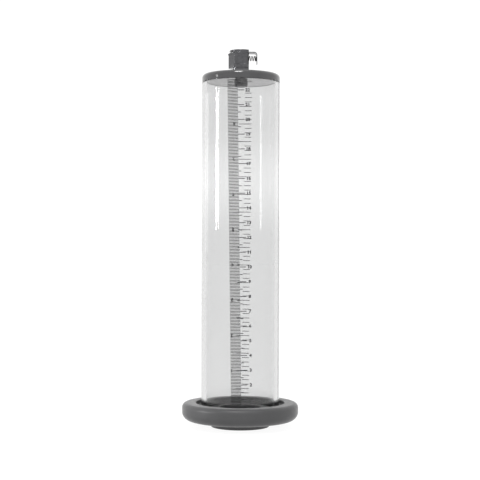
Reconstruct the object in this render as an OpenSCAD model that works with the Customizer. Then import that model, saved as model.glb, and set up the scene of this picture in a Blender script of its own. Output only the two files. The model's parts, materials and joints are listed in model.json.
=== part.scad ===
// Graduated vacuum cylinder: a clear tube with a bonded cap on top, a quick-release
// hose coupling with a thumb latch in the cap, and a soft sealing sleeve at the bottom.
// Millimetres. The tube's axis is Z, z = 0 is the bottom face of the sleeve's collar,
// and the coupling's thumb tab points along +X.

/* [Tube] */
// Outside diameter of the tube and of the cap
tube_d = 54.6; // [50:0.2:56]
// Wall thickness of the tube
tube_wall = 3.2; // [2.5:0.1:4]
// Length of the tube
tube_len = 228; // [150:1:300]

/* [Cap] */
// Thickness of the cap
cap_h = 5.8; // [4:0.1:8]
// Rounding of the cap's top edge
cap_edge = 2.9; // [0.5:0.1:3]

/* [Sealing sleeve] */
// Outside diameter of the sleeve
sleeve_d = 81.2; // [78:0.2:90]
// Height of the sleeve's soft ring
ring_h = 12.4; // [12:0.1:14]
// Height of the collar under the ring
collar_h = 4.5; // [4.2:0.1:6]
// Outside diameter of the collar
collar_d = 40.6; // [36:0.2:42]
// Diameter of the opening through the sleeve
mouth_d = 28; // [24:1:30]

/* [Coupling] */
// Diameter of the threaded stud
stud_d = 9.4; // [9:0.1:10]
// Diameter of the socket that takes the hose insert
socket_d = 6.4; // [6.2:0.1:6.6]
// Size of the two hexagons across their corners
block_d = 17.6; // [17.2:0.1:18]
// Distance from the socket's axis to the milled flat on the latch side
flat_x = 5.4; // [5.2:0.1:5.6]
// Thickness of the latch plate
latch_t = 0.5; // [0.4:0.1:0.7]
// Travel of the latch
latch_travel = 2; // [1.5:0.1:2]
// Travel of the valve poppet
poppet_travel = 2.5; // [1.5:0.1:2.5]

/* [Hidden] */
$fn = 96;
past = 1; // how far a cutter runs past a face
far = 20; // size of a cutter that takes everything on one side

// Sealing sleeve: heights from the collar's bottom face
sleeve_r = sleeve_d / 2;
mouth_r = mouth_d / 2;
collar_r = collar_d / 2;
ring_top = collar_h + ring_h;
seat_z = collar_h + 7.85;   // face that the tube's end stands on
seat_gap = 0.3;             // room beside the tube's wall
side_low = 6.2;             // rounding of the ring's outer side, below
side_high = 3.4;            // and above
rim_r = 31;                 // inner edge of the ring's crest
rim_round = 0.6;
valley_z = collar_h + 9;    // bottom of the valley between crest and tube
dish_z = seat_z + 0.3;      // flat between the tube and the opening
bead_w = 2.4;               // bead round the opening
bead_top = collar_h + 9.4;
flare = 1.5;                // radius of the flare between collar and ring
foot_round = 0.4;

// Tube and cap
tube_r = tube_d / 2;
bore_r = tube_r - tube_wall;
cap_z = seat_z + tube_len;
cap_top = cap_z + cap_h;
joint_edge = 0.2;           // rounding of the cap's lower edge, where it is bonded on

// Coupling, lower half: heights from the cap's top face
stud_r = stud_d / 2;
stud_below = 3.2;           // how far the stud stands out under the cap
stud_chamfer = 0.9;
thread_pitch = 0.8;
thread_depth = 0.35;
washer_r = 7;
washer_h = 0.7;
base_z = cap_top + washer_h;
neck_r = 7.4;
neck_flat = 5.6;            // from the axis to the spanner flat on the neck's left
flange_z = base_z + 3.35;
block_z = flange_z + 2.3;   // seam between the two halves
block_r = block_d / 2;
base_turn = -3.4;           // the lower hexagon stops this far short of the upper one

// Coupling, upper half
hex_round = 0.9;            // rounding of the hexagons' upright edges
lip_z = block_z + 7;
lip_r = block_r + 0.4;
lip_h = 0.7;                // upright part of the lip; its chamfer starts above
lip_slope = 30;
slot_z = lip_z + 1.25;
slot_h = 0.85;
slot_w = 11.6;
coupling_top = slot_z + slot_h + 1.1;
crown_r = 8.1;
crown_round = 0.4;
mouth_chamfer = 0.4;
pocket_r = 2.1;
pocket_depth = 1;

// Inside the coupling
socket_r = socket_d / 2;
socket_floor = coupling_top - 9.4;
gland_h = 1.4;
gland_r = 4.5;
gland_gap = 0.02;           // room round the insert's seal
passage_r = 2;
valve_seat_z = socket_floor - 1.45;
chamber_r = 3.3;
chamber_z = cap_z + 1.65;
outlet_r = 2;
spigot_r = 4.7;
well_z = flange_z + 0.3;
spigot_z = well_z + 0.9;

// Latch
latch_z = slot_z + (slot_h - latch_t) / 2;
latch_left = -7.1;
latch_w = slot_w - 0.6;
latch_corner = 3;
latch_hole_r = socket_r + 0.3;
tab_x = 10.8;               // inner face of the thumb tab
tab_w = 9;
tab_low = coupling_top - 9.6;
tab_corner = 2;
bend_r = 2.2;
boss_r = 1.2;
boss_l = 0.8;
pin_r = 0.6;
pin_x = -3;
pin_y = 5.1;
pin_gap = 0.1;
pin_below = 2.2;            // how deep the pin goes below the slot

// Latch spring, across the coupling
spring_z = coupling_top - 5.4;
spring_r = 1.7;
spring_wire_r = 0.25;
spring_turns = 5;

// Poppet
head_r = 2.9;
head_h = 1.5;
poppet_seal_r = 0.45;
seal_gap = 0.05;            // between the poppet's seal and its seat
head_top = valve_seat_z - seal_gap - 2 * poppet_seal_r;
head_low = head_top - head_h;
seal_hub_r = 1.85;
seal_hub_h = 0.6;
spring_hub_r = 1.6;
spring_hub_h = 2;
nose_r = 1.4;
nose_below = 0.3;           // nose stays this far below the socket's floor
stem_r = 0.9;
stem_cover = 0.65;          // open, the stem still stays this far inside the stud
stem_z = cap_z - stud_below + poppet_travel + stem_cover;

// Valve spring, upright round the stem
valve_spring_r = 2.4;
valve_wire_r = 0.2;
valve_turns = 6;

// ---------------------------------------------------------------- shared shapes

// Half-section of a ring from r0 to r1 and z0 to z1
module band(r0, r1, z0, z1) {
    translate([r0, z0]) square([r1 - r0, z1 - z0]);
}

// Half-section of a band whose outer corners are rounded
module soft_band(r0, r1, z0, z1, low, high) {
    band(r0, r1, z0 + low, z1 - high);
    band(r0, r1 - low, z0, z1 - high);
    band(r0, r1 - high, z0 + low, z1);
    if (low > 0)
        translate([r1 - low, z0 + low]) circle(low);
    translate([r1 - high, z1 - high]) circle(high);
}

module o_ring(z, r, wire_r) {
    translate([0, 0, z]) rotate_extrude() translate([r, 0]) circle(wire_r);
}

// Hexagon with rounded corners, one corner on +X
module soft_hexagon(r, round) {
    inset = r - round;
    polygon([
        for (k = [0:5], s = [-30:6:30])
            inset * [cos(60 * k), sin(60 * k)] + round * [cos(60 * k + s), sin(60 * k + s)]
    ]);
}

// Takes off everything beyond the milled flat on the latch side
module milled() {
    difference() {
        children();
        translate([flat_x, -far, flange_z - far]) cube([far, 2 * far, 3 * far]);
    }
}

// Coil spring with closed ends, standing on z = 0
coil_steps = 16;
wire_sides = 6;
function coil_z(t, turns, dead, pitch) =
    dead * min(t, 1) + pitch * min(max(t - 1, 0), turns - 2) + dead * max(t - turns + 1, 0);
function wire_ring(t, r, wire_r, z) = [
    for (k = [0:wire_sides - 1])
        let (a = 360 * t, b = 360 * k / wire_sides, q = r + wire_r * cos(b))
        [q * cos(a), q * sin(a), z + wire_r * sin(b)]
];
module coil_spring(r, wire_r, length, turns) {
    dead = 2.2 * wire_r;
    pitch = (length - 2 * wire_r - 2 * dead) / (turns - 2);
    n = turns * coil_steps;
    points = [
        for (i = [0:n])
            let (t = i / coil_steps)
            each wire_ring(t, r, wire_r, wire_r + coil_z(t, turns, dead, pitch))
    ];
    walls = [
        for (i = [0:n - 1], k = [0:wire_sides - 1])
            let (a = i * wire_sides + k, b = i * wire_sides + (k + 1) % wire_sides)
            each [[a, a + wire_sides, b], [b, a + wire_sides, b + wire_sides]]
    ];
    first = [for (k = [0:wire_sides - 1]) k];
    last = [for (k = [wire_sides - 1:-1:0]) n * wire_sides + k];
    polyhedron(points, concat(walls, [first, last]), convexity = 10);
}

// ---------------------------------------------------------------- tube and cap

module tube() {
    color([0.85, 0.88, 0.9, 0.35])
    rotate_extrude() band(bore_r, tube_r, seat_z, cap_z);
}

module cap() {
    color([0.05, 0.05, 0.05])
    rotate_extrude() soft_band(stud_r, tube_r, cap_z, cap_top, joint_edge, cap_edge);
}

// ---------------------------------------------------------------- sealing sleeve

module sleeve_section() {
    valley_r = (rim_r - tube_r - seat_gap) / 2;
    // ring, rounded outside and at the crest's inner edge
    difference() {
        soft_band(rim_r, sleeve_r, collar_h, ring_top, side_low, side_high);
        band(rim_r - far, rim_r, collar_h - past, ring_top + past);
        difference() {
            band(rim_r - past, rim_r + rim_round, ring_top - rim_round, ring_top + past);
            translate([rim_r + rim_round, ring_top - rim_round]) circle(rim_round);
        }
    }
    // floor from the opening to the ring, with the step beside the tube
    band(mouth_r, rim_r + past, collar_h, seat_z);
    band(mouth_r, bore_r - seat_gap, collar_h, dish_z);
    // valley with a round bottom
    difference() {
        band(tube_r + seat_gap, rim_r + past, collar_h, valley_z + valley_r);
        translate([tube_r + seat_gap + valley_r, valley_z + valley_r]) circle(valley_r);
    }
    // bead round the opening
    band(mouth_r, mouth_r + bead_w, collar_h, bead_top - bead_w / 2);
    translate([mouth_r + bead_w / 2, bead_top - bead_w / 2]) circle(bead_w / 2);
    // collar, and its flare into the ring
    band(mouth_r, collar_r, foot_round, collar_h + past);
    band(mouth_r, collar_r - foot_round, 0, collar_h);
    translate([collar_r - foot_round, foot_round]) circle(foot_round);
    difference() {
        band(mouth_r, collar_r + flare, collar_h - flare, collar_h + past);
        translate([collar_r + flare, collar_h - flare]) circle(flare);
    }
}

module seal_sleeve() {
    color([0.09, 0.09, 0.09])
    rotate_extrude() sleeve_section();
}

// ---------------------------------------------------------------- coupling, lower half

module seal_washer() {
    color([0.12, 0.12, 0.12])
    rotate_extrude() band(stud_r, washer_r, cap_top, base_z);
}

// Ring-shaped grooves that stand for the stud's thread below the cap
module thread_grooves() {
    low = cap_z - stud_below;
    for (z = [low + stud_chamfer + thread_pitch / 2:thread_pitch:cap_z - thread_pitch / 2])
        translate([stud_r, z])
            polygon([[-thread_depth, 0], [past, -past], [past, past]]);
}

// Stud with its chamfered end, and the neck above the washer
module base_turning() {
    low = cap_z - stud_below;
    band(outlet_r, stud_r, low + stud_chamfer, base_z);
    polygon([[outlet_r, low], [stud_r - stud_chamfer, low], [stud_r, low + stud_chamfer],
             [outlet_r, low + stud_chamfer]]);
    band(outlet_r, neck_r, base_z, flange_z + past);
}

module threaded_base() {
    color([0.3, 0.3, 0.31])
    milled() difference() {
        union() {
            rotate_extrude() base_turning();
            translate([0, 0, flange_z]) rotate(base_turn)
                linear_extrude(block_z - flange_z) soft_hexagon(block_r, hex_round);
        }
        rotate_extrude() {
            thread_grooves();
            band(0, outlet_r, cap_z - stud_below - past, block_z);
            band(0, chamber_r, chamber_z, block_z);
            band(0, spigot_r, well_z, block_z + past);
        }
        translate([-neck_flat - far, -far, base_z]) cube([far, 2 * far, flange_z - base_z]);
    }
}

module base_seal() {
    wire_r = (spigot_z - well_z) / 2;
    color([0.1, 0.1, 0.1])
    o_ring(well_z + wire_r, (chamber_r + spigot_r) / 2, wire_r);
}

// ---------------------------------------------------------------- coupling, upper half

// Hexagonal lip round the latch slot, its corners chamfered from above
module chamfered_lip() {
    cone_z = lip_z + lip_h;
    rise = past * tan(lip_slope);
    top_r = lip_r - (slot_z - cone_z) / tan(lip_slope);
    intersection() {
        translate([0, 0, lip_z]) linear_extrude(slot_z - lip_z) soft_hexagon(lip_r, hex_round);
        rotate_extrude()
            polygon([[0, lip_z - past], [lip_r + past, lip_z - past], [lip_r + past, cone_z - rise],
                     [top_r - past, slot_z + rise], [0, slot_z + rise]]);
    }
}

module body_outside() {
    translate([0, 0, block_z]) linear_extrude(lip_z - block_z) soft_hexagon(block_r, hex_round);
    chamfered_lip();
    rotate_extrude() {
        band(0, spigot_r, spigot_z, block_z);
        soft_band(0, crown_r, slot_z, coupling_top, 0, crown_round);
    }
}

module body_inside() {
    rotate_extrude() {
        band(0, chamber_r, spigot_z - past, valve_seat_z);
        band(0, passage_r, valve_seat_z - past, coupling_top);
        band(0, gland_r, socket_floor, socket_floor + gland_h);
        band(0, socket_r, socket_floor, coupling_top + past);
        polygon([[0, coupling_top - mouth_chamfer], [socket_r, coupling_top - mouth_chamfer],
                 [socket_r + mouth_chamfer, coupling_top], [0, coupling_top]]);
    }
}

module coupling_body() {
    color([0.33, 0.33, 0.34])
    milled() difference() {
        body_outside();
        body_inside();
        translate([-far, -slot_w / 2, slot_z]) cube([2 * far, slot_w, slot_h]);
        translate([flat_x - pocket_depth, 0, spring_z]) rotate([0, 90, 0]) cylinder(far, pocket_r, pocket_r);
        translate([pin_x, pin_y, slot_z - pin_below]) cylinder(far, pin_r, pin_r);
    }
}

module insert_seal() {
    wire_r = (gland_r - socket_r) / 2 - gland_gap;
    color([0.1, 0.1, 0.1])
    o_ring(socket_floor + wire_r, gland_r - wire_r, wire_r);
}

// ---------------------------------------------------------------- latch

module latch_outline() {
    bend_x = tab_x + latch_t - bend_r;
    difference() {
        union() {
            translate([latch_left + latch_corner, -latch_w / 2])
                square([flat_x - latch_left - latch_corner, latch_w]);
            translate([latch_left, latch_corner - latch_w / 2])
                square([latch_corner, latch_w - 2 * latch_corner]);
            for (side = [-1, 1])
                translate([latch_left + latch_corner, side * (latch_w / 2 - latch_corner)])
                    circle(latch_corner);
            translate([0, -tab_w / 2]) square([bend_x, tab_w]);
        }
        translate([latch_travel, 0]) circle(latch_hole_r);
        translate([pin_x - pin_r - pin_gap, pin_y - pin_r - pin_gap])
            square([2 * (pin_r + pin_gap) + latch_travel, latch_w]);
    }
}

module latch_bend() {
    translate([tab_x + latch_t - bend_r, 0, latch_z + latch_t - bend_r])
        intersection() {
            rotate([90, 0, 0]) difference() {
                cylinder(tab_w, bend_r, bend_r, center = true);
                cylinder(tab_w + past, bend_r - latch_t, bend_r - latch_t, center = true);
            }
            translate([0, -tab_w / 2, 0]) cube([bend_r, tab_w, bend_r]);
        }
}

module thumb_tab() {
    tab_h = latch_z + latch_t - bend_r - tab_low;
    translate([tab_x, 0, tab_low]) rotate([90, 0, 90]) linear_extrude(latch_t) {
        translate([-tab_w / 2, tab_corner]) square([tab_w, tab_h - tab_corner]);
        translate([tab_corner - tab_w / 2, 0]) square([tab_w - 2 * tab_corner, tab_corner]);
        for (side = [-1, 1])
            translate([side * (tab_w / 2 - tab_corner), tab_corner]) circle(tab_corner);
    }
}

module latch_plate() {
    color([0.28, 0.28, 0.29]) union() {
        translate([0, 0, latch_z]) linear_extrude(latch_t) latch_outline();
        latch_bend();
        thumb_tab();
        translate([tab_x - boss_l, 0, spring_z]) rotate([0, 90, 0]) cylinder(boss_l, boss_r, boss_r);
    }
}

module latch_spring() {
    pocket_x = flat_x - pocket_depth;
    color([0.5, 0.5, 0.5])
    translate([pocket_x, 0, spring_z]) rotate([0, 90, 0])
        coil_spring(spring_r, spring_wire_r, tab_x - pocket_x, spring_turns);
}

module latch_stop_pin() {
    color([0.5, 0.5, 0.5])
    translate([pin_x, pin_y, slot_z - pin_below])
        cylinder(coupling_top - slot_z + pin_below - mouth_chamfer, pin_r, pin_r);
}

// ---------------------------------------------------------------- valve

module poppet() {
    color([0.75, 0.75, 0.72])
    rotate_extrude() {
        band(0, nose_r, head_low, socket_floor - nose_below);
        band(0, seal_hub_r, head_low, head_top + seal_hub_h);
        band(0, head_r, head_low, head_top);
        band(0, spring_hub_r, head_low - spring_hub_h, head_low);
        band(0, stem_r, stem_z, head_low);
    }
}

module poppet_seal() {
    color([0.1, 0.1, 0.1])
    o_ring(head_top + poppet_seal_r, seal_hub_r + poppet_seal_r + seal_gap, poppet_seal_r);
}

module poppet_spring() {
    color([0.6, 0.6, 0.6])
    translate([0, 0, chamber_z]) coil_spring(valve_spring_r, valve_wire_r, head_low - chamber_z, valve_turns);
}

tube();
cap();
seal_sleeve();
seal_washer();
threaded_base();
base_seal();
coupling_body();
insert_seal();
latch_plate();
latch_spring();
latch_stop_pin();
poppet();
poppet_seal();
poppet_spring();
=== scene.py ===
"""Looks of the graduated vacuum cylinder: materials for its CAD parts, smooth springs,
a moulded rubber sleeve, printed scales, and a plain white studio. Metres, +Z up."""
import json
import math

import bmesh
import bpy
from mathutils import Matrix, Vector


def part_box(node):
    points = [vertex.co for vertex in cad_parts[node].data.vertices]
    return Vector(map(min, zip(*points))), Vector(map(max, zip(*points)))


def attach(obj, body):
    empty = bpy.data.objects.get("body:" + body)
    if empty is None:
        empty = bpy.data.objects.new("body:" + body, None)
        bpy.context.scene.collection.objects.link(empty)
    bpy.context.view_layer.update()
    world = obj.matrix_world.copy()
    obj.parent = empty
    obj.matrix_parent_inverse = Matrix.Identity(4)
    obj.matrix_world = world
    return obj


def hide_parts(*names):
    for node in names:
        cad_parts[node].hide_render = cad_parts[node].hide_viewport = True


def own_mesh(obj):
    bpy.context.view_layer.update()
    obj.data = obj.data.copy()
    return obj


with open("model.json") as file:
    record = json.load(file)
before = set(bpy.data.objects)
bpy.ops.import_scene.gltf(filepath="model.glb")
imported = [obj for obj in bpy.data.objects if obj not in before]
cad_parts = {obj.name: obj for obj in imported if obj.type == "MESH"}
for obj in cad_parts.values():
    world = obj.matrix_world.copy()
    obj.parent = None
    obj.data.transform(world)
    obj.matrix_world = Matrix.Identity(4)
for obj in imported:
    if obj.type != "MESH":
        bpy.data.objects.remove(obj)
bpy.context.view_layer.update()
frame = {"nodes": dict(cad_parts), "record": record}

MM = 0.001
CYLINDER = "cylinder"            # the body that the tube and everything on it belongs to

tube_low, tube_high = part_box("tube")
TUBE_R = tube_high.x             # outer radius of the tube
TUBE_END = tube_low.z            # its bottom end, where the scales start


# ------------------------------------------------------------------ camera

CAMERA_DISTANCE = 0.85           # from the tube's axis
CAMERA_HEIGHT = 0.1287           # about half the object's height, looking level
SENSOR = 36                      # mm
LENS = 91.09                     # mm
LEAN = math.radians(-0.166)      # the object stands a hair off the frame's upright
SHIFT_X = -0.0012                # parts of the frame's width
SHIFT_Y = 0.0048


def make_camera():
    data = bpy.data.cameras.new("camera")
    data.lens = LENS
    data.sensor_width = SENSOR
    data.shift_x = SHIFT_X
    data.shift_y = SHIFT_Y
    data.clip_start = 0.05
    data.clip_end = 20
    camera = bpy.data.objects.new("camera", data)
    camera.location = (0, -CAMERA_DISTANCE, CAMERA_HEIGHT)
    camera.rotation_euler = (math.radians(90), LEAN, 0)
    bpy.context.scene.collection.objects.link(camera)
    bpy.context.scene.camera = camera


make_camera()


# ------------------------------------------------------------------ material helpers

class Shader:
    """A Principled material with object coordinates, for building node trees briefly."""

    def __init__(self, name, color, roughness, metallic=0.0, **sockets):
        self.material = bpy.data.materials.new(name)
        self.material.use_nodes = True
        self.tree = self.material.node_tree
        self.bsdf = self.tree.nodes["Principled BSDF"]
        self.bsdf.inputs["Base Color"].default_value = (*color, 1)
        self.bsdf.inputs["Roughness"].default_value = roughness
        self.bsdf.inputs["Metallic"].default_value = metallic
        for socket, value in sockets.items():
            self.bsdf.inputs[socket.replace("_", " ")].default_value = value
        self.coords = self.node("ShaderNodeTexCoord").outputs["Object"]

    def node(self, kind, **settings):
        made = self.tree.nodes.new(kind)
        for key, value in settings.items():
            setattr(made, key, value)
        return made

    def link(self, output, target):
        self.tree.links.new(output, target)

    def noise(self, scale, detail=4.0, stretch=(1, 1, 1), rough=0.5):
        """Noise of about 1/scale metres; stretch multiplies the coordinates first."""
        mapping = self.node("ShaderNodeMapping")
        mapping.inputs["Scale"].default_value = stretch
        self.link(self.coords, mapping.inputs["Vector"])
        made = self.node("ShaderNodeTexNoise")
        made.inputs["Scale"].default_value = scale
        made.inputs["Detail"].default_value = detail
        made.inputs["Roughness"].default_value = rough
        self.link(mapping.outputs["Vector"], made.inputs["Vector"])
        return made.outputs["Fac"]

    def spread(self, value, low, high, start=0.3, stop=0.7):
        """Maps a value between start and stop to the range from low to high."""
        made = self.node("ShaderNodeMapRange")
        made.inputs["From Min"].default_value = start
        made.inputs["From Max"].default_value = stop
        made.inputs["To Min"].default_value = low
        made.inputs["To Max"].default_value = high
        self.link(value, made.inputs["Value"])
        return made.outputs["Result"]

    def tint(self, value, dark, light, start=0.3, stop=0.7):
        """Base colour that runs from dark to light with a value."""
        ramp = self.node("ShaderNodeValToRGB")
        ramp.color_ramp.elements[0].position = start
        ramp.color_ramp.elements[0].color = (*dark, 1)
        ramp.color_ramp.elements[1].position = stop
        ramp.color_ramp.elements[1].color = (*light, 1)
        self.link(value, ramp.inputs["Fac"])
        self.link(ramp.outputs["Color"], self.bsdf.inputs["Base Color"])

    def bump(self, value, distance, strength=1.0, normal=None):
        """Relief of a given depth; normal is what it starts from."""
        made = self.node("ShaderNodeBump")
        made.inputs["Distance"].default_value = distance
        made.inputs["Strength"].default_value = strength
        self.link(value, made.inputs["Height"])
        if normal is not None:
            self.link(normal, made.inputs["Normal"])
        self.link(made.outputs["Normal"], self.bsdf.inputs["Normal"])

    def absorb(self, per_metre):
        """Grey absorption inside a clear solid: the node takes density times one less its colour."""
        made = self.node("ShaderNodeVolumeAbsorption")
        made.inputs["Color"].default_value = (0.5, 0.5, 0.5, 1)
        made.inputs["Density"].default_value = per_metre / 0.5
        self.link(made.outputs["Volume"], self.tree.nodes["Material Output"].inputs["Volume"])

    def soft_edges(self, radius):
        """Rounds sharp edges in shading; gives the normal that a bump starts from."""
        made = self.node("ShaderNodeBevel", samples=6)
        made.inputs["Radius"].default_value = radius
        return made.outputs["Normal"]


def turned(shader, pitch):
    """Fine rings round Z, as a lathe leaves them."""
    return shader.noise(1 / pitch, detail=2, stretch=(0.04, 0.04, 1))


# ------------------------------------------------------------------ materials

def clear_acrylic():
    s = Shader("clear_acrylic", (0.86, 0.862, 0.862), 0.0, Transmission_Weight=1.0, IOR=1.49)
    s.absorb(26)
    smudges = s.noise(45, detail=5, stretch=(1, 1, 0.5))
    s.link(s.spread(smudges, 0.0, 0.018, 0.45, 0.8), s.bsdf.inputs["Roughness"])
    return s.material


def black_acrylic():
    s = Shader("black_acrylic", (0.037, 0.037, 0.038), 0.08, IOR=1.49, Coat_Weight=0.4, Coat_Roughness=0.02)
    s.tint(s.noise(120, detail=3), (0.032, 0.032, 0.033), (0.042, 0.042, 0.044))
    s.link(s.spread(s.noise(900, detail=4), 0.02, 0.045), s.bsdf.inputs["Roughness"])
    s.bump(turned(s, 0.9 * MM), 0.002 * MM, 0.5)
    return s.material


def moulded_rubber():
    s = Shader("moulded_rubber", (0.056, 0.056, 0.057), 0.4, IOR=1.4,
               Sheen_Weight=0.25, Sheen_Roughness=0.25)
    s.tint(s.noise(60, detail=6), (0.051, 0.051, 0.052), (0.062, 0.062, 0.064))
    s.link(s.spread(s.noise(400, detail=5), 0.34, 0.46), s.bsdf.inputs["Roughness"])
    s.bump(s.noise(2600, detail=3), 0.02 * MM, 0.6)
    return s.material


def seal_rubber():
    s = Shader("seal_rubber", (0.03, 0.03, 0.03), 0.45, IOR=1.5)
    s.tint(s.noise(500, detail=3), (0.024, 0.024, 0.024), (0.04, 0.04, 0.04))
    s.link(s.spread(s.noise(1500), 0.35, 0.55), s.bsdf.inputs["Roughness"])
    return s.material


def dark_metal():
    s = Shader("dark_metal", (0.1, 0.1, 0.104), 0.25, metallic=1.0)
    s.tint(s.noise(700, detail=5), (0.082, 0.082, 0.086), (0.115, 0.115, 0.12))
    s.link(s.spread(turned(s, 0.25 * MM), 0.1, 0.2), s.bsdf.inputs["Roughness"])
    s.bump(turned(s, 0.3 * MM), 0.004 * MM, 0.5, s.soft_edges(0.15 * MM))
    return s.material


def sheet_steel():
    s = Shader("sheet_steel", (0.16, 0.16, 0.165), 0.3, metallic=1.0)
    s.tint(s.noise(500, detail=5), (0.12, 0.12, 0.125), (0.19, 0.19, 0.195))
    grain = s.noise(1500, detail=3, stretch=(0.06, 1, 0.06))
    s.link(s.spread(grain, 0.22, 0.4), s.bsdf.inputs["Roughness"])
    s.bump(grain, 0.004 * MM, 0.5, s.soft_edges(0.12 * MM))
    return s.material


def spring_wire():
    s = Shader("spring_wire", (0.08, 0.08, 0.083), 0.25, metallic=1.0)
    s.tint(s.noise(1800, detail=3), (0.06, 0.06, 0.062), (0.1, 0.1, 0.104))
    s.link(s.spread(s.noise(2500), 0.18, 0.34), s.bsdf.inputs["Roughness"])
    return s.material


def white_acetal():
    s = Shader("white_acetal", (0.72, 0.71, 0.68), 0.4, IOR=1.48)
    s.tint(s.noise(300, detail=3), (0.68, 0.67, 0.64), (0.76, 0.75, 0.72))
    s.link(s.spread(turned(s, 0.3 * MM), 0.32, 0.5), s.bsdf.inputs["Roughness"])
    return s.material


def printed_ink():
    s = Shader("printed_ink", (0.012, 0.012, 0.013), 0.42)
    s.tint(s.noise(3000, detail=2), (0.009, 0.009, 0.01), (0.018, 0.018, 0.02))
    s.link(s.spread(s.noise(2000), 0.36, 0.5), s.bsdf.inputs["Roughness"])
    return s.material


MATERIALS = {
    "tube": clear_acrylic(),
    "cap": black_acrylic(),
    "seal_sleeve": moulded_rubber(),
    "seal_rubber": seal_rubber(),
    "coupling": dark_metal(),
    "latch": sheet_steel(),
    "wire": spring_wire(),
    "valve": white_acetal(),
    "ink": printed_ink(),
}

NODE_MATERIALS = {
    "tube": "tube", "cap": "cap", "seal_sleeve": "seal_sleeve",
    "seal_washer": "seal_rubber", "base_seal": "seal_rubber",
    "insert_seal": "seal_rubber", "poppet_seal": "seal_rubber",
    "threaded_base": "coupling", "coupling_body": "coupling",
    "latch_plate": "latch", "latch_stop_pin": "latch",
    "latch_spring": "wire", "poppet_spring": "wire", "poppet": "valve",
}

for node, key in NODE_MATERIALS.items():
    for material_slot in frame["nodes"][node].material_slots:
        material_slot.material = MATERIALS[key]


# ------------------------------------------------------------------ mesh helpers

def add_piece(name, mesh, material, body):
    """Puts a finished mesh in the scene as a piece that rides on a body."""
    piece = bpy.data.objects.new(name, mesh)
    bpy.context.scene.collection.objects.link(piece)
    mesh.materials.append(MATERIALS[material])
    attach(piece, body)
    return piece


def mesh_from(name, vertices, faces, smooth=True):
    mesh = bpy.data.meshes.new(name)
    mesh.from_pydata([tuple(v) for v in vertices], [], faces)
    if smooth:
        mesh.polygons.foreach_set("use_smooth", [True] * len(mesh.polygons))
    mesh.update()
    return mesh


# ------------------------------------------------------------------ springs

COIL_STEPS = 40                  # steps round one turn
WIRE_SIDES = 14
DEAD_PITCH = 2.2                 # pitch of the closed end coils, in radii of the wire
LATCH_WIRE = 0.25 * MM           # radius of the wire
LATCH_TURNS = 5
LATCH_SHEET = 0.5 * MM           # thickness of the latch plate and its thumb tab
POPPET_WIRE = 0.2 * MM
POPPET_TURNS = 6
SPRING_TIP = 0.03 * MM           # the CAD spring's six-sided wire ends this far short of a round one


def coil_rise(turn, turns, dead, pitch):
    """Height of the wire's centre after a number of turns; the end coils lie closed."""
    return dead * min(turn, 1) + pitch * min(max(turn - 1, 0), turns - 2) + dead * max(turn - turns + 1, 0)


def coil_mesh(name, base, along, side, radius, wire, length, turns):
    """A round-wire spring from base, wound round the direction along."""
    along = Vector(along)
    side = Vector(side)
    across = along.cross(side)
    dead = DEAD_PITCH * wire
    pitch = (length - 2 * wire - 2 * dead) / (turns - 2)
    count = int(turns * COIL_STEPS)
    vertices = []
    for i in range(count + 1):
        turn = i / COIL_STEPS
        angle = 2 * math.pi * turn
        out = side * math.cos(angle) + across * math.sin(angle)
        height = wire + coil_rise(turn, turns, dead, pitch)
        for k in range(WIRE_SIDES):
            around = 2 * math.pi * k / WIRE_SIDES
            reach = radius + wire * math.cos(around)
            vertices.append(base + out * reach + along * (height + wire * math.sin(around)))
    faces = []
    for i in range(count):
        for k in range(WIRE_SIDES):
            a = i * WIRE_SIDES + k
            b = i * WIRE_SIDES + (k + 1) % WIRE_SIDES
            faces.append((a, a + WIRE_SIDES, b + WIRE_SIDES, b))
    faces.append(tuple(range(WIRE_SIDES)))
    faces.append(tuple(reversed(range(count * WIRE_SIDES, (count + 1) * WIRE_SIDES))))
    return mesh_from(name, vertices, faces)


def sprung_joint(name):
    """A joint's travel, and the place of its spring's fixed end along the joint's axis."""
    for joint in frame["record"]["behaviour"]["joints"]:
        if joint["name"] == name:
            deforming = joint["deforming_nodes"][0]
            fixed = [value for key, value in deforming.items() if key.startswith("fixed_end")]
            return joint["range_m"][1], fixed[0]
    raise ValueError(name)


def make_springs():
    low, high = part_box("latch_spring")
    travel, pocket_x = sprung_joint("latch_press")
    radius = (high.y - low.y) / 2 - LATCH_WIRE
    pocket = Vector((pocket_x, 0, (low.z + high.z) / 2))
    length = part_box("latch_plate")[1].x - LATCH_SHEET - pocket_x
    coil = coil_mesh("latch_coil", pocket, (1, 0, 0), (0, 0, -1), radius, LATCH_WIRE, length, LATCH_TURNS)
    spring = add_piece("latch_coil", coil, "wire", CYLINDER)
    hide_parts("latch_spring")
    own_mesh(spring)

    low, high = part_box("poppet_spring")
    travel, floor_z = sprung_joint("poppet_open")
    radius = (high.y - low.y) / 2 - POPPET_WIRE
    floor = Vector((0, 0, floor_z))
    length = high.z - floor_z + SPRING_TIP
    coil = coil_mesh("poppet_coil", floor, (0, 0, 1), (1, 0, 0), radius, POPPET_WIRE, length, POPPET_TURNS)
    spring = add_piece("poppet_coil", coil, "wire", CYLINDER)
    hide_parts("poppet_spring")
    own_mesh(spring)


make_springs()


# ------------------------------------------------------------------ printed scales

INK_LIFT = 0.012 * MM            # ink starts this far off the wall
INK_THICK = 0.03 * MM
LINE = 0.47 * MM                 # width of a printed line
STEP = 1.5 * MM                  # longest straight piece of a curved mark
NUMERAL_WIDTH = 1.08             # numerals are this much wider than the typeface
NUMERAL_WEIGHT = 0.045           # and bolder, in heights
INCH = 25.4 * MM


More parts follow.
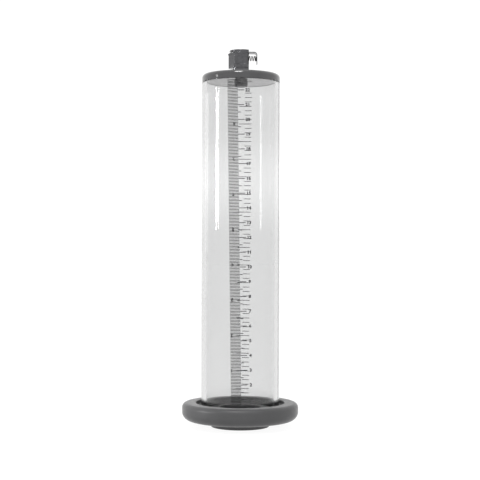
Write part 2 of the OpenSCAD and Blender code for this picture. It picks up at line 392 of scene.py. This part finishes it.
class Print:
    """Collects marks laid flat in (u, z), rolled onto the tube at a given side.

    u runs to the right for someone who reads the scale; the whole print leans by a
    small angle, as the real one does."""

    def __init__(self, facing, left, reference, lean):
        self.facing = facing     # angle of the scale's middle, from -Y towards +X
        self.left = left         # u of the scale's left edge at the reference height
        self.reference = reference
        self.lean = lean
        self.vertices = []
        self.faces = []

    def place(self, u, z, depth):
        """Point at distance u right of the left edge and at height z."""
        turned_u = self.left + u + (z - self.reference) * math.sin(self.lean)
        turned_z = z - u * math.sin(self.lean)
        angle = self.facing + turned_u / TUBE_R
        r = TUBE_R + depth
        return Vector((r * math.sin(angle), -r * math.cos(angle), turned_z))

    def bar(self, u0, u1, z0, z1):
        """A closed thin bar that follows the wall."""
        steps = max(1, math.ceil((u1 - u0) / STEP))
        first = len(self.vertices)
        for i in range(steps + 1):
            u = u0 + (u1 - u0) * i / steps
            for depth in (INK_LIFT, INK_LIFT + INK_THICK):
                for z in (z0, z1):
                    self.vertices.append(self.place(u, z, depth))
        for i in range(steps):
            a = first + 4 * i
            b = a + 4
            self.faces += [(a, a + 1, b + 1, b), (a + 2, b + 2, b + 3, a + 3),
                           (a, b, b + 2, a + 2), (a + 1, a + 3, b + 3, b + 1)]
        end = first + 4 * steps
        self.faces += [(first, first + 2, first + 3, first + 1), (end, end + 1, end + 3, end + 2)]

    def tick(self, z, length):
        """A mark from the left edge."""
        self.bar(0, length, z - LINE / 2, z + LINE / 2)

    def number(self, text, u, z, height):
        """A numeral in the built-in plain typeface, centred on (u, z)."""
        curve = bpy.data.curves.new("numeral", "FONT")
        curve.body = text
        curve.size = 1
        curve.align_x = "CENTER"
        curve.extrude = 0.5
        curve.offset = NUMERAL_WEIGHT
        curve.resolution_u = 4
        holder = bpy.data.objects.new("numeral", curve)
        bpy.context.scene.collection.objects.link(holder)
        bpy.context.view_layer.update()
        flat = bpy.data.meshes.new_from_object(holder.evaluated_get(bpy.context.evaluated_depsgraph_get()))
        bpy.data.objects.remove(holder)
        bpy.data.curves.remove(curve)
        welded = bmesh.new()
        welded.from_mesh(flat)
        bmesh.ops.remove_doubles(welded, verts=welded.verts, dist=1e-4)
        lowest = min(v.co.y for v in welded.verts)
        highest = max(v.co.y for v in welded.verts)
        scale = height / (highest - lowest)
        first = len(self.vertices)
        for v in welded.verts:
            depth = INK_LIFT + INK_THICK * (v.co.z + 0.5)
            self.vertices.append(self.place(u + v.co.x * scale * NUMERAL_WIDTH,
                                            z + (v.co.y - (lowest + highest) / 2) * scale, depth))
        welded.verts.index_update()
        self.faces += [tuple(first + v.index for v in face.verts) for face in welded.faces]
        welded.free()
        bpy.data.meshes.remove(flat)

    def finish(self, name):
        """Makes the print's piece."""
        mesh = mesh_from(name, self.vertices, self.faces, smooth=False)
        fixed = bmesh.new()
        fixed.from_mesh(mesh)
        bmesh.ops.recalc_face_normals(fixed, faces=fixed.faces)
        fixed.to_mesh(mesh)
        fixed.free()
        add_piece(name, mesh, "ink", CYLINDER)


def centimetre_scale():
    """Millimetre, half-centimetre and centimetre marks on the front, from the tube's end."""
    ink = Print(facing=0, left=-9.3 * MM, reference=231.7 * MM, lean=math.radians(-0.82))
    long_mark, middle_mark, short_mark = 11.4 * MM, 9.0 * MM, 7.1 * MM
    number_u, number_height = 13.76 * MM, 2.3 * MM
    zero = TUBE_END - 0.5 * MM
    millimetres = int((tube_high.z - zero) / MM) - 1
    for mm in range(1, millimetres + 1):
        z = zero + mm * MM
        ink.tick(z, long_mark if mm % 10 == 0 else middle_mark if mm % 5 == 0 else short_mark)
        if mm % 10 == 0:
            ink.number(str(mm // 10), number_u, z, number_height)
    ink.finish("centimetre_scale")


def inch_scale():
    """Eighth, half and whole inch marks on the back, read from behind."""
    ink = Print(facing=math.pi, left=-8.6 * MM, reference=233.4 * MM, lean=math.radians(-0.54))
    long_mark, short_mark = 9.9 * MM, 5.4 * MM
    number_u, number_height = 13.8 * MM, 2.6 * MM
    zero = TUBE_END - 1.65 * MM
    lowest, highest = TUBE_END + MM, tube_high.z - 1.5 * MM
    for eighth in range(1, math.ceil(8 * (tube_high.z - zero) / INCH)):
        z = zero + eighth * INCH / 8
        if not lowest <= z <= highest:
            continue
        ink.tick(z, long_mark if eighth % 4 == 0 else short_mark)
        if eighth % 8 == 0:
            ink.number(str(eighth // 8), number_u, z, number_height)
    ink.finish("inch_scale")


centimetre_scale()
inch_scale()


# ------------------------------------------------------------------ sealing sleeve

SLEEVE_STEPS = 240               # steps round the sleeve


def arc(r, z, radius, start, stop, count):
    """Points of an arc in the sleeve's half-section; angles in degrees from +r towards +z."""
    return [(r + radius * math.cos(math.radians(a)), z + radius * math.sin(math.radians(a)))
            for a in (start + (stop - start) * i / count for i in range(count + 1))]


def line(r0, z0, r1, z1, count):
    """Points along a straight stretch, without its ends."""
    return [(r0 + (r1 - r0) * i / count, z0 + (z1 - z0) * i / count) for i in range(1, count)]


def sleeve_section():
    """Closed half-section of the sleeve in millimetres, anticlockwise from the collar's foot."""
    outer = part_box("seal_sleeve")[1].x / MM
    seat_out = TUBE_R / MM + 0.3         # the seat's walls stand clear of the tube's
    seat_in = TUBE_R / MM - 3.5
    collar, mouth = 20.3, 14.0           # radii of the collar and the opening
    ring_low, ring_high = 4.5, 16.9
    side_low, side_high = 6.2, 3.4       # rounding of the ring's outer side
    flare, foot = 1.5, 0.4               # rounding of the collar, above and below
    rim, rim_round = 31.0, 0.6           # inner edge of the crest
    seat, dish = 12.35, 12.65            # heights of the seat and of the dish inside it
    valley_low = ring_low + 9.0          # bottom of the valley between crest and tube
    valley = (rim - seat_out) / 2
    bead = 1.2                           # rounding of the bead round the opening
    bead_low = ring_low + 8.2
    section = arc(collar - foot, foot, foot, -90, 0, 4)
    section += arc(collar + flare, ring_low - flare, flare, 180, 90, 8)
    section += line(collar + flare, ring_low, outer - side_low, ring_low, 8)
    section += arc(outer - side_low, ring_low + side_low, side_low, -90, 0, 14)
    section += line(outer, ring_low + side_low, outer, ring_high - side_high, 3)
    section += arc(outer - side_high, ring_high - side_high, side_high, 0, 90, 12)
    section += line(outer - side_high, ring_high, rim + rim_round, ring_high, 3)
    section += arc(rim + rim_round, ring_high - rim_round, rim_round, 90, 180, 6)
    section += arc(seat_out + valley, valley_low + valley, valley, 0, -180, 10)
    section += [(seat_out, seat), (seat_in, seat), (seat_in, dish)]
    section += line(seat_in, dish, mouth + 2 * bead, dish, 4)
    section += arc(mouth + bead, bead_low, bead, 0, 180, 8)
    section += line(mouth, bead_low, mouth, foot, 6)
    section += [(mouth, foot), (mouth + foot, 0.0)]
    return section


def make_sleeve():
    section = sleeve_section()
    count = len(section)
    vertices = []
    for i in range(SLEEVE_STEPS):
        angle = 2 * math.pi * i / SLEEVE_STEPS
        for r, z in section:
            vertices.append(Vector((r * math.cos(angle), r * math.sin(angle), z)) * MM)
    faces = []
    for i in range(SLEEVE_STEPS):
        j = (i + 1) % SLEEVE_STEPS
        for k in range(count):
            m = (k + 1) % count
            faces.append((i * count + k, j * count + k, j * count + m, i * count + m))
    mesh = mesh_from("rubber_sleeve", vertices, faces)
    soft = bmesh.new()
    soft.from_mesh(mesh)
    bmesh.ops.remove_doubles(soft, verts=soft.verts, dist=1e-7)
    bmesh.ops.recalc_face_normals(soft, faces=soft.faces)
    soft.to_mesh(mesh)
    soft.free()
    sleeve = add_piece("rubber_sleeve", mesh, "seal_sleeve", "sleeve")
    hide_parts("seal_sleeve")


make_sleeve()


# ------------------------------------------------------------------ studio

def area_light(name, place, target, width, height, power):
    data = bpy.data.lights.new(name, "AREA")
    data.shape = "RECTANGLE"
    data.size = width
    data.size_y = height
    data.energy = power
    light = bpy.data.objects.new(name, data)
    light.location = place
    light.rotation_euler = (Vector(target) - Vector(place)).to_track_quat("-Z", "Y").to_euler()
    bpy.context.scene.collection.objects.link(light)


SURROUND = 1.1                   # brightness of the white surround
GLOW = 1.18                      # how many times brighter its glow is
GLOW_AT = 0.05                   # sine of the glow's elevation
GLOW_REACH = 0.05                # and how far it reaches either way
FLOOR_SIZE = 6.0                 # from the middle to a side
FLOOR_GLOW = 0.93                # keeps the floor as white as the surround
SIDE_LIGHT_DISTANCE = 0.9


def round_the_object(azimuth, distance, z):
    """A place at an azimuth from the camera's side, -Y, towards +X."""
    angle = math.radians(azimuth)
    return distance * math.sin(angle), -distance * math.cos(angle), z


def side_light(name, azimuth, z_low, z_high, width, radiance):
    """An upright soft box that faces the object, of a given brightness."""
    middle = (z_low + z_high) / 2
    height = z_high - z_low
    area_light(name, round_the_object(azimuth, SIDE_LIGHT_DISTANCE, middle), (0, 0, middle),
               width, height, radiance * math.pi * width * height)


def make_surround():
    """A white world with a soft glow a few degrees above the horizon."""
    world = bpy.data.worlds.new("studio")
    world.use_nodes = True
    tree = world.node_tree
    background = tree.nodes["Background"]
    background.inputs["Color"].default_value = (1, 1, 1, 1)
    direction = tree.nodes.new("ShaderNodeTexCoord")
    split = tree.nodes.new("ShaderNodeSeparateXYZ")
    tree.links.new(direction.outputs["Generated"], split.inputs["Vector"])
    off_centre = tree.nodes.new("ShaderNodeMath")
    off_centre.operation = "SUBTRACT"
    off_centre.inputs[1].default_value = GLOW_AT
    tree.links.new(split.outputs["Z"], off_centre.inputs[0])
    distance = tree.nodes.new("ShaderNodeMath")
    distance.operation = "ABSOLUTE"
    tree.links.new(off_centre.outputs["Value"], distance.inputs[0])
    fall = tree.nodes.new("ShaderNodeMapRange")
    fall.interpolation_type = "SMOOTHSTEP"
    fall.inputs["From Min"].default_value = 0
    fall.inputs["From Max"].default_value = GLOW_REACH
    fall.inputs["To Min"].default_value = SURROUND * GLOW
    fall.inputs["To Max"].default_value = SURROUND
    tree.links.new(distance.outputs["Value"], fall.inputs["Value"])
    tree.links.new(fall.outputs["Result"], background.inputs["Strength"])
    bpy.context.scene.world = world
    bpy.context.scene.view_settings.view_transform = "Standard"


def make_floor():
    size = FLOOR_SIZE
    floor_mesh = mesh_from("floor", [(-size, -size, 0), (size, -size, 0), (size, size, 0), (-size, size, 0)],
                           [(0, 1, 2, 3)], smooth=False)
    floor = bpy.data.objects.new("floor", floor_mesh)
    bpy.context.scene.collection.objects.link(floor)
    white = Shader("white_floor", (0.08, 0.08, 0.08), 0.9)
    white.bsdf.inputs["Emission Color"].default_value = (1, 1, 1, 1)
    white.bsdf.inputs["Emission Strength"].default_value = FLOOR_GLOW
    floor_mesh.materials.append(white.material)


def make_lights():
    """A tall soft box on the left with two small ones above it, dimmer ones behind, one overhead."""
    side_light("strip", -74.4, 0.147, 0.346, 0.064, 80)
    side_light("glint_on_cap", -74.4, 0.362, 0.3642, 0.1, 9)
    side_light("glint_on_coupling", -74.9, 0.3735, 0.378, 0.065, 26)
    side_light("edge_high", -124, 0.19, 0.34, 0.11, 1.2)
    side_light("edge_middle", -124, 0.115, 0.19, 0.11, 0.7)
    side_light("edge_low", -124, 0.05, 0.115, 0.11, 0.15)
    area_light("overhead", (-0.1, -0.5, 1.2), (0, 0, 0.2), 0.3, 0.45, 6.2)


make_surround()
make_floor()
make_lights()
